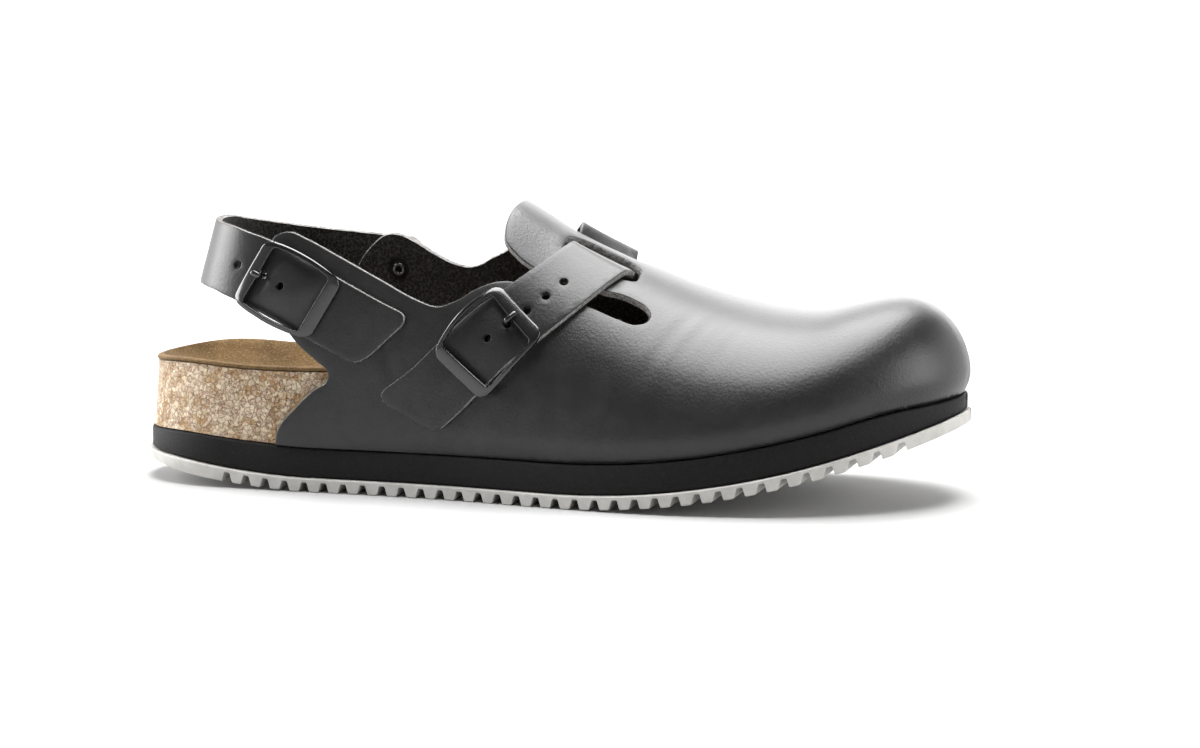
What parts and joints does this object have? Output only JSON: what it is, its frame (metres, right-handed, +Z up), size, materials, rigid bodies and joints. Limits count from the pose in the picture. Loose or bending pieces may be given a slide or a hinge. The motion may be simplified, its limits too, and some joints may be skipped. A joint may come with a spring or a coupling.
{
  "type": "chef clog",
  "caption": "Leather chef clog with a buckled instep strap and a buckled heel strap, on a bare cork footbed, a foam midsole and a lugged rubber outsole.",
  "frame": {"origin": "on the floor under the middle of the bounding box", "axes": "+X from the heel to the toe, +Y to the inner side of the foot, +Z up"},
  "size_m": [0.2846, 0.1074, 0.097],
  "materials": {
    "rubber": "matte warm grey",
    "midsole_foam": "matte black, fine pores",
    "cork": "bare granulated cork, sealed",
    "suede": "napped khaki tan",
    "leather": "satin black grain",
    "black_metal": "glossy black"
  },
  "bodies": {
    "root": {"outsole": "rubber", "midsole": "midsole_foam", "footbed": "cork", "insole": "suede", "upper": "leather", "instep_strap": "leather", "instep_buckle_frame": "black_metal", "instep_buckle_prong": "black_metal", "instep_strap_rivet": "black_metal", "heel_strap": "leather", "heel_buckle_frame": "black_metal", "heel_buckle_prong": "black_metal", "heel_strap_rivet": "black_metal"}
  },
  "joints": []
}
